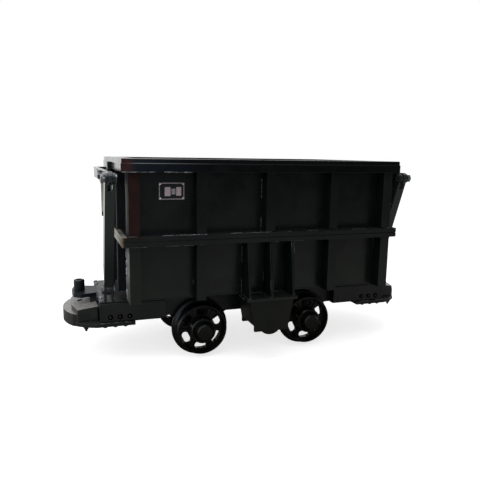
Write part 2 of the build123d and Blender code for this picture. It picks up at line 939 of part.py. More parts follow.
def rod_plane(x):
    """Plane at x whose local X runs up the rod from its lower pin."""
    lean = (0, rod_top[0] - rod_foot[0], rod_top[1] - rod_foot[1])
    return Plane(origin=(x, *rod_foot), x_dir=lean, z_dir=(1, 0, 0))


def make_tie_rods():
    length = hypot(rod_top[0] - rod_foot[0], rod_top[1] - rod_foot[1])
    slot = arm + 2 * side_gap
    for name, end in ENDS:
        with BuildPart() as rod:
            with BuildSketch(rod_plane(link_x * end - rod_width / 2)):
                with Locations((length / 2, 0)):
                    Rectangle(length, rod_depth)
                with Locations((0, 0), (length, 0)):
                    Circle(rod_eye_radius)
                with Locations((0, 0), (length, 0)):
                    Circle(rod_pin + running_clearance, mode=Mode.SUBTRACT)
            extrude(amount=rod_width)
            with BuildSketch(rod_plane(link_x * end - slot / 2)):
                with Locations((length - rod_fork_slot / 2 + rod_eye_radius, 0)):
                    Rectangle(rod_fork_slot + 2 * rod_eye_radius, 3 * rod_eye_radius)
            extrude(amount=slot, mode=Mode.SUBTRACT)
            for face in (-rod_width / 2, rod_eye / 2):
                with BuildSketch(rod_plane(link_x * end + face)):
                    with Locations(((rod_foot_slot - 2 * rod_eye_radius) / 2, 0)):
                        Rectangle(rod_foot_slot + 2 * rod_eye_radius, 3 * rod_eye_radius)
                extrude(amount=(rod_width - rod_eye) / 2, mode=Mode.SUBTRACT)
        save(rod, f"tie_rod_{name}")

        with BuildPart() as pin:
            inner = end * (link_x - rod_width / 2)
            outer = end * (link_x + rod_width / 2)
            round_x(rod_top, rod_pin, inner, outer)
            round_x(rod_top, rod_pin + pin_head_rim, inner - end * pin_head, inner)
            hex_x(rod_top, rod_pin + fork_nut_rim, outer, outer + end * fork_nut)
        save(pin, f"tie_rod_pin_{name}")


os.makedirs("parts", exist_ok=True)
make_sills()
make_end_frames()
make_cross_members()
make_pedestals()
make_wheelsets()
for bumper_name, bumper_end in ENDS:
    make_bumper(bumper_name, bumper_end)
make_pin_guides()
make_deck_brackets()
make_rests()
make_tub_sheets()
make_tub_frame()
make_tub_hinges()
make_roller_bracket()
make_door()
make_tie_rods()
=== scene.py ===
from math import cos, radians, sin, tau

import bmesh
import bpy
from mathutils import Matrix, Vector, noise


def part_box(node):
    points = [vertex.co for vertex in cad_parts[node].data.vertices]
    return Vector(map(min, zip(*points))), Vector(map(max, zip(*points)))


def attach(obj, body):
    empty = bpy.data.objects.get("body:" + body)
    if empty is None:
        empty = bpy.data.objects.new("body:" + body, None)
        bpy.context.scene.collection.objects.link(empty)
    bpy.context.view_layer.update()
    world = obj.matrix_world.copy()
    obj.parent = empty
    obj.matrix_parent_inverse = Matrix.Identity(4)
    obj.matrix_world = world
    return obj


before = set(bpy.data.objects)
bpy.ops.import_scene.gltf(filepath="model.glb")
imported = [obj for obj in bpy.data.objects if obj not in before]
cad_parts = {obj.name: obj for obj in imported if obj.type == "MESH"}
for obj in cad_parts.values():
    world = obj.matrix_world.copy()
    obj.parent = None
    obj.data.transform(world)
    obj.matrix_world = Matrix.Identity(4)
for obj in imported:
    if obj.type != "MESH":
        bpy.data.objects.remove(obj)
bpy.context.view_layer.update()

# Side dump ore cart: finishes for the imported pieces, and what they leave out: welds, bolts, the rods' flanges
# and the nameplate. Lengths are in metres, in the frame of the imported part: X along the cart, -Y the roller
# side, Z up.

ENDS = (-1, 1)
SIDES = (-1, 1)
ROUNDED_EDGE = 0.002
HEXAGON = 6
BEAD_SIDES = 6
STUD_SIDES = 16
WASHER_SIDES = 24


def limits(name):
    """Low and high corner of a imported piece."""
    low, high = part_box(name)
    return Vector(low), Vector(high)


def colour(red, green, blue):
    return (red, green, blue, 1.0)


# Camera, floor and light


def make_camera():
    """The photograph's viewpoint: standing height, a little downwards and towards the cart's right end."""
    place = Vector((-1.3124, -3.7239, 1.4013))
    yaw = radians(19.3)
    pitch = radians(9.3)
    roll = radians(0.9)
    forward = Vector((sin(yaw) * cos(pitch), cos(yaw) * cos(pitch), -sin(pitch)))
    level = Vector((cos(yaw), -sin(yaw), 0))
    upright = level.cross(forward)
    right = level * cos(roll) + upright * sin(roll)
    up = upright * cos(roll) - level * sin(roll)
    camera = bpy.data.objects.new("camera", bpy.data.cameras.new("camera"))
    camera.data.sensor_width = 36
    camera.data.lens = 39.25
    camera.matrix_world = Matrix.Translation(place) @ Matrix((right, up, -forward)).transposed().to_4x4()
    bpy.context.scene.collection.objects.link(camera)
    bpy.context.scene.camera = camera


class Nodes:
    """A short way to lay out and link a node tree."""

    def __init__(self, tree):
        self.tree = tree
        tree.nodes.clear()

    def add(self, kind, settings=None, **inputs):
        node = self.tree.nodes.new(kind)
        for key, value in (settings or {}).items():
            setattr(node, key, value)
        for key, value in inputs.items():
            self.put(node, key, value)
        return node

    def put(self, node, key, value):
        """Link or set an input, named by its label with underscores, or by its place as in_0."""
        if key.startswith("in_"):
            socket = node.inputs[int(key[3:])]
        else:
            socket = node.inputs[key.replace("_", " ")]
        if isinstance(value, bpy.types.Node):
            value = value.outputs[0]
        if isinstance(value, bpy.types.NodeSocket):
            self.tree.links.new(value, socket)
        else:
            socket.default_value = value

    def math(self, operation, a, b=0.0, clamp=False):
        return self.add("ShaderNodeMath", {"operation": operation, "use_clamp": clamp}, in_0=a, in_1=b)

    def noise(self, where, scale, detail=4.0, roughness=0.55):
        node = self.add("ShaderNodeTexNoise", Vector=where, Scale=scale, Detail=detail, Roughness=roughness)
        return node.outputs["Fac"]

    def bump(self, height, strength, distance, **below):
        return self.add("ShaderNodeBump", Height=height, Strength=strength, Distance=distance, **below)

    def ramp(self, value, low, high, to_low=0.0, to_high=1.0):
        """Map low..high smoothly onto to_low..to_high."""
        settings = {"interpolation_type": "SMOOTHSTEP"}
        return self.add(
            "ShaderNodeMapRange", settings, in_0=value, in_1=low, in_2=high, in_3=to_low, in_4=to_high
        )

    def mix(self, factor, a, b):
        """Mix two colours."""
        node = self.add("ShaderNodeMix", {"data_type": "RGBA"}, in_0=factor, in_6=a, in_7=b)
        return node.outputs[2]

    def blend(self, factor, a, b):
        """Mix two plain numbers."""
        node = self.add("ShaderNodeMix", {"data_type": "FLOAT"}, in_0=factor, in_2=a, in_3=b)
        return node.outputs[0]

    def parts(self, vector):
        """The X, Y and Z of a vector."""
        return self.add("ShaderNodeSeparateXYZ", Vector=vector).outputs


def make_world():
    """Even daylight.

    Gloss sees white behind and above. In front it sees dark on the right and a cool, brighter left.
    """
    daylight = 0.5
    white = colour(1, 1, 1)
    cold = colour(0.50, 0.92, 1.38)
    world = bpy.data.worlds.new("studio")
    bpy.context.scene.world = world
    world.use_nodes = True
    n = Nodes(world.node_tree)
    facing = n.parts(n.add("ShaderNodeTexCoord").outputs["Generated"])
    front = n.ramp(facing["Y"], 0.05, -0.5)
    window = n.ramp(facing["X"], 0.27, 0.02, to_low=0.05, to_high=0.46)
    left = n.ramp(facing["X"], 0.0, -0.7, to_low=0.0, to_high=0.8)
    rays = n.add("ShaderNodeLightPath").outputs
    glossy = n.blend(front, 1.0, n.math("ADD", window, left))
    cool = n.math("MULTIPLY", front, rays["Is Glossy Ray"])
    tint = n.mix(n.math("MULTIPLY", cool, window), white, cold)
    lit = n.math("MULTIPLY", rays["Is Diffuse Ray"], daylight)
    seen = n.math("MAXIMUM", rays["Is Camera Ray"], n.math("MULTIPLY", rays["Is Glossy Ray"], glossy))
    background = n.add("ShaderNodeBackground", Color=tint, Strength=n.math("ADD", lit, seen))
    n.add("ShaderNodeOutputWorld", Surface=background)


def make_floor():
    """A pale floor that shows white but keeps a soft shadow.

    Gloss sees it dark beneath the cart, bright behind and beyond the ends, and a band of it in front.
    """
    reach = 40
    cart_end = 1.25
    lift = 0.72
    grey, paler = colour(0.78, 0.78, 0.78), colour(0.82, 0.82, 0.82)
    greenish = colour(0.96, 1.0, 0.93)
    mesh = bpy.data.meshes.new("floor")
    corners = [(-reach, -reach, 0), (reach, -reach, 0), (reach, reach, 0), (-reach, reach, 0)]
    mesh.from_pydata(corners, [], [(0, 1, 2, 3)])
    floor = bpy.data.objects.new("floor", mesh)
    bpy.context.scene.collection.objects.link(floor)
    material, n = new_material("floor")
    place = n.add("ShaderNodeNewGeometry").outputs["Position"]
    where = n.parts(place)
    rays = n.add("ShaderNodeLightPath").outputs
    aside = n.math("SUBTRACT", n.math("ABSOLUTE", where["X"]), cart_end)
    beyond = n.ramp(n.math("MAXIMUM", aside, where["Y"]), 0.15, 2.2, to_low=0.05, to_high=0.85)
    back = n.ramp(where["Y"], -1.6, 0.3)
    band = n.ramp(where["Y"], -0.75, -1.25, to_low=0.0, to_high=0.31)
    fade = n.ramp(where["Y"], -3.5, -9.0, to_low=1.0, to_high=0.12)
    glow = n.math("ADD", n.math("MULTIPLY", beyond, back), n.math("MULTIPLY", band, fade))
    speckled = n.mix(n.noise(place, scale=40.0), grey, paler)
    matt = n.add("ShaderNodeBsdfDiffuse", Color=speckled)
    lifted = n.math("MULTIPLY", rays["Is Camera Ray"], lift)
    shine = n.add("ShaderNodeEmission", Color=colour(1, 1, 1), Strength=lifted)
    both = n.add("ShaderNodeAddShader", in_0=matt, in_1=shine)
    mirrored = n.add("ShaderNodeEmission", Color=greenish, Strength=glow)
    shown = n.add("ShaderNodeMixShader", in_0=rays["Is Glossy Ray"], in_1=both, in_2=mirrored)
    n.add("ShaderNodeOutputMaterial", Surface=shown)
    mesh.materials.append(material)


def make_lamp(name, place, target, size, power):
    """A wide soft disk that shines on a target."""
    lamp = bpy.data.lights.new(name, "AREA")
    lamp.shape = "DISK"
    lamp.size = size
    lamp.energy = power
    holder = bpy.data.objects.new(name, lamp)
    aim = Vector(target) - Vector(place)
    holder.matrix_world = Matrix.Translation(place) @ aim.to_track_quat("-Z", "Y").to_matrix().to_4x4()
    bpy.context.scene.collection.objects.link(holder)


# Materials


def new_material(name):
    material = bpy.data.materials.new(name)
    material.use_nodes = True
    return material, Nodes(material.node_tree)


def coat(tone, specular, rough, **place):
    """A further coat of paint; per axis, where it starts and where it is full."""
    return {"tone": tone, "specular": specular, "rough": rough, "place": place}


def region(n, place, ramps):
    """One inside a part of the cart and zero outside."""
    where = n.parts(place)
    inside = None
    for axis, (starts, full) in ramps.items():
        step = n.ramp(where[axis], starts, full)
        inside = n.math("MULTIPLY", inside, step) if inside else step
    return inside


def lay_coat(n, shader, mask, layer, place, bump):
    """Show a further coat, a little blotched, over a finish where the mask is one."""
    shade = 0.72
    blotch = n.ramp(n.noise(place, scale=14.0, detail=5.0), 0.34, 0.62)
    darker = colour(*(shade * part for part in layer["tone"][:3]))
    tint = n.mix(blotch, darker, layer["tone"])
    paint = n.add("ShaderNodeBsdfPrincipled", Base_Color=tint, Roughness=layer["rough"], Normal=bump)
    paint.inputs["Specular IOR Level"].default_value = layer["specular"]
    return n.add("ShaderNodeMixShader", in_0=mask, in_1=shader, in_2=paint)


def lay_coats(n, shader, coats, place, bump):
    """Lay coats one over another, each in its own part of the cart."""
    for layer in coats:
        shader = lay_coat(n, shader, region(n, place, layer["place"]), layer, place, bump)
    return shader


def paint_material(name, tones, gloss, dust=0.06, bumps=0.35, specular=0.5, ends=0.0, flank_shade=None, coats=()):
    """Black enamel: a dark and a light tone, an uneven sheen, runs and orange peel in the bump, dust on top.

    With ends, the faces turned to -X are that much smoother or, below zero, rougher. A coat given for the
    flanks lies on the faces turned along X as painted shade, and the other coats lie over both.
    """
    dust_tone = colour(0.20, 0.19, 0.175)
    material, n = new_material(name)
    place = n.add("ShaderNodeTexCoord").outputs["Object"]
    facing = n.parts(n.add("ShaderNodeNewGeometry").outputs["Normal"])
    patches = n.noise(place, scale=2.3, detail=5.0)
    tone = n.mix(n.ramp(patches, 0.35, 0.65), *tones)
    grit = n.noise(place, scale=55.0, detail=6.0)
    settled = n.ramp(facing["Z"], 0.55, 0.95)
    dusty = n.math("MULTIPLY", settled, n.ramp(grit, 0.35, 0.75, to_low=0.2 * dust, to_high=dust))
    tinted = n.mix(dusty, tone, dust_tone)
    sheen = n.noise(place, scale=6.0, detail=5.0)
    rough = n.ramp(sheen, 0.3, 0.7, to_low=gloss - 0.05, to_high=gloss + 0.08)
    rough = n.math("ADD", rough, n.math("MULTIPLY", dusty, 0.5), clamp=True)
    if ends:
        turned = n.ramp(facing["X"], -0.6, -0.9)
        rough = n.math("SUBTRACT", rough, n.math("MULTIPLY", turned, ends), clamp=True)
    orange_peel = n.noise(place, scale=150.0, detail=2.0)
    stretched = n.add("ShaderNodeMapping", in_0=place, Scale=(1.0, 1.0, 0.35))
    runs = n.noise(stretched, scale=16.0, detail=3.0)
    fine = n.bump(orange_peel, 0.12 * bumps, 0.0004)
    broad = n.bump(runs, 0.20 * bumps, 0.002, Normal=fine)
    shader = n.add("ShaderNodeBsdfPrincipled", Base_Color=tinted, Roughness=rough, Normal=broad)
    shader.inputs["IOR"].default_value = 1.48
    shader.inputs["Specular IOR Level"].default_value = specular
    # Painted shade: the coat given for the flanks darkens and dulls the faces turned along X.
    if flank_shade:
        across = n.ramp(n.math("ABSOLUTE", facing["X"]), 0.6, 0.9)
        shader = lay_coat(n, shader, across, flank_shade, place, broad)
    n.add("ShaderNodeOutputMaterial", Surface=lay_coats(n, shader, coats, place, broad))
    return material


def iron_material(name, tones, gloss, bumps, bare, specular=0.5, top_highlight=0.0, coats=()):
    """Cast iron under thin black paint: grainy, with worn lighter patches and, if asked, a painted highlight on
    the flat tops.
    """
    bare_tone = colour(0.10, 0.095, 0.09)
    top_highlight_tone = colour(0.25, 0.243, 0.238)
    material, n = new_material(name)
    place = n.add("ShaderNodeTexCoord").outputs["Object"]
    patches = n.noise(place, scale=11.0, detail=6.0)
    tone = n.mix(n.ramp(patches, 0.35, 0.65), *tones)
    worn = n.noise(place, scale=38.0, detail=8.0, roughness=0.65)
    base = n.mix(n.ramp(worn, 0.60, 0.72, to_low=0.0, to_high=bare), tone, bare_tone)
    # Painted highlight: the flat tops are made lighter in colour, as light from above shows them.
    if top_highlight:
        facing = n.parts(n.add("ShaderNodeNewGeometry").outputs["Normal"])
        flat = n.ramp(facing["Z"], 0.6, 0.9)
        shown = n.math("MULTIPLY", flat, n.ramp(worn, 0.3, 0.6, to_low=0.7 * top_highlight, to_high=top_highlight))
        base = n.mix(shown, base, top_highlight_tone)
    rough = n.ramp(worn, 0.3, 0.7, to_low=gloss - 0.06, to_high=gloss + 0.12)
    grain = n.noise(place, scale=120.0, detail=8.0, roughness=0.6)
    lumps = n.noise(place, scale=26.0, detail=4.0)
    fine = n.bump(grain, 0.25 * bumps, 0.002)
    broad = n.bump(lumps, 0.2 * bumps, 0.006, Normal=fine)
    shader = n.add("ShaderNodeBsdfPrincipled", Base_Color=base, Roughness=rough, Normal=broad)
    shader.inputs["IOR"].default_value = 1.5
    shader.inputs["Specular IOR Level"].default_value = specular
    n.add("ShaderNodeOutputMaterial", Surface=lay_coats(n, shader, coats, place, broad))
    return material


def steel_material(name, tones, gloss):
    """Bare steel: a bright tone and a dark oxide one, and fine turning marks."""
    material, n = new_material(name)
    place = n.add("ShaderNodeTexCoord").outputs["Object"]
    patches = n.noise(place, scale=30.0, detail=6.0)
    oxide = n.ramp(patches, 0.4, 0.65)
    tone = n.mix(oxide, *tones)
    rough = n.ramp(patches, 0.3, 0.7, to_low=gloss, to_high=gloss + 0.2)
    marks = n.bump(n.noise(place, scale=220.0, detail=4.0), 0.15, 0.001)
    metal = n.math("SUBTRACT", 0.9, n.math("MULTIPLY", oxide, 0.6))
    shader = n.add("ShaderNodeBsdfPrincipled", Base_Color=tone, Metallic=metal, Roughness=rough, Normal=marks)
    n.add("ShaderNodeOutputMaterial", Surface=shader)
    return material


def soften_edges(node):
    """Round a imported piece's sharp edges a little, so that they catch the light as painted steel does."""
    weld = node.modifiers.new("weld", "WELD")
    weld.merge_threshold = 0.00002
    bevel = node.modifiers.new("bevel", "BEVEL")
    bevel.width = ROUNDED_EDGE
    bevel.segments = 2
    bevel.limit_method = "ANGLE"
    bevel.angle_limit = radians(35)
    shading = node.modifiers.new("shading", "WEIGHTED_NORMAL")
    shading.keep_sharp = True


def dress_nodes(finishes, special):
    """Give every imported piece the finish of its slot, or its own, and slightly rounded edges."""
    for name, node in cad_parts.items():
        slot = node.data.materials[0].name.split(".")[0]
        node.data.materials.clear()
        node.data.materials.append(special.get(name, finishes[slot]))
        soften_edges(node)


# Building blocks of the welds, bolts and flanges


def make_piece(name, bm, body, finish, smooth=True):
    """Turn finished geometry into a piece that rides on a body."""
    bmesh.ops.recalc_face_normals(bm, faces=bm.faces)
    mesh = bpy.data.meshes.new(name)
    bm.to_mesh(mesh)
    bm.free()
    for face in mesh.polygons:
        face.use_smooth = smooth
    mesh.materials.append(finish)
    piece = bpy.data.objects.new(name, mesh)
    bpy.context.scene.collection.objects.link(piece)
    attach(piece, body)


def skin(bm, outlines):
    """A closed body through outlines that all have equally many corners."""
    rings = [[bm.verts.new(corner) for corner in outline] for outline in outlines]
    for near, far in zip(rings, rings[1:]):
        for k in range(len(near)):
            after = (k + 1) % len(near)
            bm.faces.new((near[k], near[after], far[after], far[k]))
    bm.faces.new(rings[0])
    bm.faces.new(rings[-1])


def circle(place, turn, radius, height, sides, lead=0.0):
    """Corners of a circle about a turned axis; lead shifts them round by a part of a side."""
    angles = [tau * (k + lead) / sides for k in range(sides)]
    return [place + turn @ Vector((radius * cos(angle), radius * sin(angle), height)) for angle in angles]


def tube(bm, stations):
    """Skin a closed tube through stations, each a place and a radius."""
    rings = []
    for i, (place, radius) in enumerate(stations):
        before = stations[max(i - 1, 0)][0]
        after = stations[min(i + 1, len(stations) - 1)][0]
        turn = (after - before).to_track_quat("Z", "Y")
        rings.append(circle(place, turn, radius, 0, BEAD_SIDES))
    skin(bm, rings)


def bead(bm, start, end, radius, cover):
    """Lay a weld by hand: ripples of uneven size, left out here and there if cover is below one."""
    swell_scale = 60
    drift_scales = (31, 37, 41)
    gap_scale = 7.0
    start = Vector(start)
    run = Vector(end) - start
    ripple = radius * 1.3
    tip = radius * 0.4
    shift = Vector((radius * 900, 0, 0))
    count = max(3, int(run.length / ripple))
    stations = []
    for i in range(count + 1):
        place = start + run * (i / count)
        swell = 0.85 + 0.45 * noise.noise(place * swell_scale) + 0.22 * (i % 2)
        drift = Vector([noise.noise(place * scale) for scale in drift_scales]) * radius * 0.4
        chance = noise.noise(place * gap_scale + shift) * 0.5 + 0.5
        laid = chance < cover
        if laid:
            stations.append((place + drift, radius * swell))
        if stations and (not laid or i == count):
            if len(stations) > 2:
                stations[0] = (stations[0][0], tip)
                stations[-1] = (stations[-1][0], tip)
                tube(bm, stations)
            stations = []


def lathe(bm, place, axis, profile, sides):
    """Turn a profile of (radius, height) pairs about an axis; six sides make a hexagon."""
    turn = Vector(axis).to_track_quat("Z", "Y")
    skin(bm, [circle(Vector(place), turn, radius, height, sides, lead=0.5) for radius, height in profile])


def bolt(bm, place, axis, radius, height, stud=0.0):
    """A washer, a chamfered hexagon and, where it is a nut, the end of its stud."""
    washer = height * 0.18
    ring = [(radius * 1.3, 0), (radius * 1.3, washer * 0.8), (radius * 1.22, washer)]
    head = [(radius, washer * 0.5), (radius, height * 0.85), (radius * 0.86, height)]
    lathe(bm, place, axis, ring, WASHER_SIDES)
    lathe(bm, place, axis, head, HEXAGON)
    if stud:
        tip = height + stud
        end = [(radius * 0.5, height * 0.9), (radius * 0.5, tip - 0.2 * stud), (radius * 0.4, tip)]
        lathe(bm, place, axis, end, STUD_SIDES)


# Welds of the tub


def lay_rim_highlight(finish):
    """Under the rim's near edge: a full bead at the left end and thinner traces after it, whose bright steel
    paints in the highlight along that edge.
    """
    inside, under, short = 0.002, 0.001, 0.005
    low, high = limits("tub_rim")
    y = low.y + inside
    z = low.z - under
    end = high.x - short
    # From, to, radius and cover of each stretch.
    stretches = ((-end, -0.53, 0.0040, 0.72), (-0.53, 0.1, 0.0017, 0.36), (0.1, end, 0.0015, 0.32))
    bm = bmesh.new()
    for start, stop, radius, cover in stretches:
        bead(bm, (start, y, z), (stop, y, z), radius, cover)
    make_piece("rim_highlight_bead", bm, "tub", finish)


def lay_belt_weld(finish, end):
    """On both edges of the belt, a little fuller towards the left end."""
    belt = limits("tub_belt")
    # Place, radius and cover at each edge, and what each stretch makes of them.
    edges = (
        (limits("side_ribs")[0].y - 0.004, belt[1].z, 0.0036, 0.52),
        (belt[0].y + 0.003, belt[0].z, 0.0030, 0.34),
    )
    stretches = ((-end, -0.45, 1.0, 0.15), (-0.45, 0.45, 0.8, 0.0), (0.45, end, 0.7, 0.0))
    bm = bmesh.new()
    for y, z, radius, cover in edges:
        for start, stop, share, more in stretches:
            bead(bm, (start, y, z), (stop, y, z), radius * share, cover + more)
    make_piece("belt_weld", bm, "tub", finish)


def rib_middles():
    """Middle X of the near wall's three ribs, which fill their piece from end to end."""
    count = 3
    width = 0.063
    low, high = limits("side_ribs")
    step = (high.x - low.x - width) / (count - 1)
    return [low.x + width / 2 + i * step for i in range(count)]


def lay_rib_welds(shiny, dull, outer):
    """Down the sides of the near wall's posts and ribs; the left post's lower outer bead is bright."""
    # Radius and cover of each kind of bead.
    full, outer_trace, trace = (0.0055, 0.9), (0.0030, 0.5), (0.0030, 0.42)
    rim, belt, wall, ribs = (limits(name) for name in ("tub_rim", "tub_belt", "tub_near_wall", "side_ribs"))
    sheet = wall[0].y
    behind = sheet + 0.045
    inner = wall[1].x - 0.013
    rib_side = 0.0325
    below = (ribs[0].z + 0.01, belt[0].z)
    above = (belt[1].z, rim[0].z)

    def upright(bm, x, y, level, kind):
        bead(bm, (x, y, level[0]), (x, y, level[1]), *kind)

    bm = bmesh.new()
    # Painted highlight: this bead's bright steel stands for the lit edge of the left post.
    upright(bm, -outer, behind, below, full)
    make_piece("post_weld", bm, "tub", shiny)

    bm = bmesh.new()
    for x, level in ((outer, below), (-outer, above), (outer, above)):
        upright(bm, x, behind, level, outer_trace)
    for level in (below, above):
        for x in (-inner, inner):
            upright(bm, x, sheet, level, trace)
    for x in rib_middles():
        has_gusset_below = abs(x) < 0.01
        levels = (above,) if has_gusset_below else (below, above)
        for level in levels:
            for side in SIDES:
                upright(bm, x + side * rib_side, sheet, level, trace)
    make_piece("rib_weld", bm, "tub", dull)


def lay_gusset_weld(finish):
    """Round the roller's three gussets, their shelf and the plate beneath it."""
    gussets = (-0.155, 0, 0.155)
    half = 0.009
    clear = 0.012
    top_front = -0.594
    # Radius and cover of each kind of bead.
    at_wall, at_front, at_foot = (0.0026, 0.42), (0.0016, 0.35), (0.0028, 0.55)
    at_shelf, at_lip = (0.004, 0.8), (0.0024, 0.5)
    at_plate, at_end = (0.003, 0.6), (0.003, 0.5)
    sheet = limits("tub_near_wall")[0].y
    low, high = limits("roller_bracket")
    plate = limits("roller_plates")
    front = low.y + 0.008
    shelf = low.z + 0.02
    bm = bmesh.new()
    for x in gussets:
        for side in SIDES:
            place = x + side * half
            bead(bm, (place, sheet, shelf), (place, sheet, high.z), *at_wall)
            bead(bm, (place, front, shelf), (place, top_front, high.z), *at_front)
            bead(bm, (place, sheet, shelf), (place, front, shelf), *at_foot)
    for a, b in zip(gussets, gussets[1:]):
        bead(bm, (a + clear, sheet, shelf), (b - clear, sheet, shelf), *at_shelf)
    lip = low.y + 0.002
    bead(bm, (low.x + 0.004, lip, shelf), (high.x - 0.004, lip, shelf), *at_lip)
    bead(bm, (plate[0].x, plate[0].y, plate[1].z), (plate[1].x, plate[0].y, plate[1].z), *at_plate)
    middle = shelf - 0.01
    for end in ENDS:
        bead(bm, (end * high.x, low.y, middle), (end * high.x, sheet, middle), *at_end)
    make_piece("gusset_weld", bm, "tub", finish)


# Rod flanges, the truck's welds and bolts, and the nameplate


def fit_rod_flanges(finish):
    """Flanges that run up the back of both tie rods, so that each is a channel open to the tub."""
    eye = 0.032
    thick = 0.008
    web, depth = 0.012, 0.072
    starts, full = 0.07, 0.15
    narrows, ends, cut = 0.06, 0.034, 0.04
    for end, name in zip(ENDS, ("left", "right")):
        low, high = limits(f"tie_rod_{name}")
        foot = Vector((0, high.y - eye, low.z + eye))
        top = Vector((0, low.y + eye, high.z - eye))
        along = (top - foot).normalized()
        back = Vector((0, along.z, -along.y))
        length = (top - foot).length
        last = length - ends
        shape = ((starts, web), (full, depth), (length - narrows, depth), (last, cut), (last, web))
        outline = [foot + along * run + back * away for run, away in shape]
        edges = sorted((abs(low.x), abs(high.x)))
        bm = bmesh.new()
        for inner in (edges[0], edges[1] - thick):
            faces = [Vector((end * x, 0, 0)) for x in (inner, inner + thick)]
            skin(bm, [[corner + face for corner in outline] for face in faces])
        make_piece(f"rod_flanges_{name}", bm, f"rod_{name}", finish, smooth=False)


def lay_truck_welds(finish):
    """Beside the jaw's block and the casting, along the deck and the channels, and at the rod brackets."""
    # Side, from, to, radius and cover of the beads on the end plates.
    uprights = ((0.106, 0.38, 0.448, 0.006, 0.95), (0.184, 0.292, 0.371, 0.005, 0.8))
    deck_seam = (0.05, 0.3)
    bracket_faces = (0.978, 1.0475)
    seam_start = 0.87
    # Radius and cover of the other beads.
    at_deck, at_bracket, at_channel = (0.0045, 0.8), (0.004, 0.85), (0.0050, 0.62)
    plate = limits("end_plate_right")
    channel = limits("end_channels")
    foot = limits("rod_brackets")
    end_face, deck = plate[1].x, plate[1].z
    bm = bmesh.new()
    rough = bmesh.new()
    for end in ENDS:
        face = end * (end_face + 0.002)
        corner = end * (end_face - 0.001)
        for side in SIDES:
            for y, bottom, top, radius, cover in uprights:
                bead(bm, (face, side * y, bottom), (face, side * y, top), radius, cover)
            bead(bm, (corner, side * deck_seam[0], deck), (corner, side * deck_seam[1], deck), *at_deck)
            for x in bracket_faces:
                bead(bm, (end * x, side * -foot[0].y, deck), (end * x, side * -foot[1].y, deck), *at_bracket)
            seam = (side * (channel[1].y - 0.001), channel[0].z - 0.001)
            bead(rough, (end * seam_start, *seam), (end * end_face, *seam), *at_channel)
    make_piece("truck_weld", bm, "truck", finish)
    make_piece("channel_weld", rough, "truck", finish)


def fit_bolts(finish, bright, sunk):
    """Bolts on the end channels, each in a ring painted as its shadow, nuts under the base plates and small
    bolts on the deck.
    """
    channel_bolts, bolt_height = (1.013, 0.950, 0.887), 0.327
    plate_nuts, nut_side = (1.046, 0.980, 0.914), 0.290
    corner_stud = (1.166, 0.262)
    deck_bolts = ((1.064, 0.285), (1.064, 0.205))
    deck_lift = 0.008
    # Radius, height and stud of each kind.
    plate_nut, corner_nut, deck_bolt = (0.014, 0.009, 0.003), (0.016, 0.016, 0.014), (0.010, 0.009)
    ring = [(0.0165, 0), (0.0165, 0.004), (0.0145, 0.005), (0.0105, 0.005), (0.0100, 0.001)]
    shank = [(0.0075, 0), (0.0075, 0.006), (0.0055, 0.008)]
    channel = limits("end_channels")
    under = limits("base_plates")[0].z
    down, up = (0, 0, -1), (0, 0, 1)
    bm = bmesh.new()
    rings = bmesh.new()
    for end in ENDS:
        for side in SIDES:
            for x in channel_bolts:
                place = (end * x, side * channel[1].y, bolt_height)
                lathe(rings, place, (0, side, 0), ring, WASHER_SIDES)
                lathe(bm, place, (0, side, 0), shank, STUD_SIDES)
            for x in plate_nuts:
                bolt(bm, (end * x, side * nut_side, under), down, *plate_nut)
            bolt(bm, (end * corner_stud[0], side * corner_stud[1], under), down, *corner_nut)
    make_piece("frame_bolts", bm, "truck", finish, smooth=False)
    make_piece("bolt_rings", rings, "truck", sunk)
    bm = bmesh.new()
    for end in ENDS:
        for side in SIDES:
            for x, y in deck_bolts:
                bolt(bm, (end * x, side * y, channel[1].z + deck_lift), up, *deck_bolt)
    make_piece("deck_bolts", bm, "truck", bright, smooth=False)


def fit_nameplate(border_tone, field_tone, blank_tone, screw_tone):
    """A bare plate on the near wall: border, dark field, three blank panels and four corner screws."""
    face = limits("tub_near_wall")[0].y
    left, right = -0.718, -0.557
    bottom, top = 1.115, 1.220
    border = 0.006
    inset = 0.008
    screw = [(0.0062, 0.001), (0.0060, 0.0035), (0.0040, 0.0052)]
    width, height = right - left, top - bottom
    panels = (
        ("border", (0, width), (0, height), 0.0020, border_tone),
        ("field", (border, width - border), (border, height - border), 0.0026, field_tone),
        ("blank_left", (0.036, 0.073), (0.022, 0.078), 0.0030, blank_tone),
        ("blank_right", (0.109, 0.141), (0.024, 0.078), 0.0030, blank_tone),
        ("blank_middle", (0.079, 0.104), (0.032, 0.068), 0.0029, border_tone),
    )
    for name, across, up, depth, finish in panels:
        bm = bmesh.new()
        middle = Vector((left + sum(across) / 2, face - depth / 2 + 0.0001, bottom + sum(up) / 2))
        size = Matrix.Diagonal((across[1] - across[0], depth, up[1] - up[0], 1))
        bmesh.ops.create_cube(bm, size=1, matrix=Matrix.Translation(middle) @ size)
        bmesh.ops.bevel(bm, geom=bm.edges[:], offset=0.0004, segments=1, affect="EDGES")
        make_piece(f"plate_{name}", bm, "tub", finish, smooth=False)
    bm = bmesh.new()
    for x in (left + inset, right - inset):
        for z in (bottom + inset, top - inset):
            lathe(bm, (x, face, z), (0, -1, 0), screw, STUD_SIDES)
    make_piece("plate_screws", bm, "tub", screw_tone)


# Stage

bpy.context.scene.view_settings.view_transform = "Standard"
make_camera()
make_world()
make_floor()
make_lamp("overhead", (-0.6, -0.8, 4.2), (0, 0, 0.6), size=4.5, power=90)
make_lamp("left", (-4.6, -1.2, 2.6), (0, 0, 0.7), size=3.0, power=60)

# Tones of each paint, dark and light

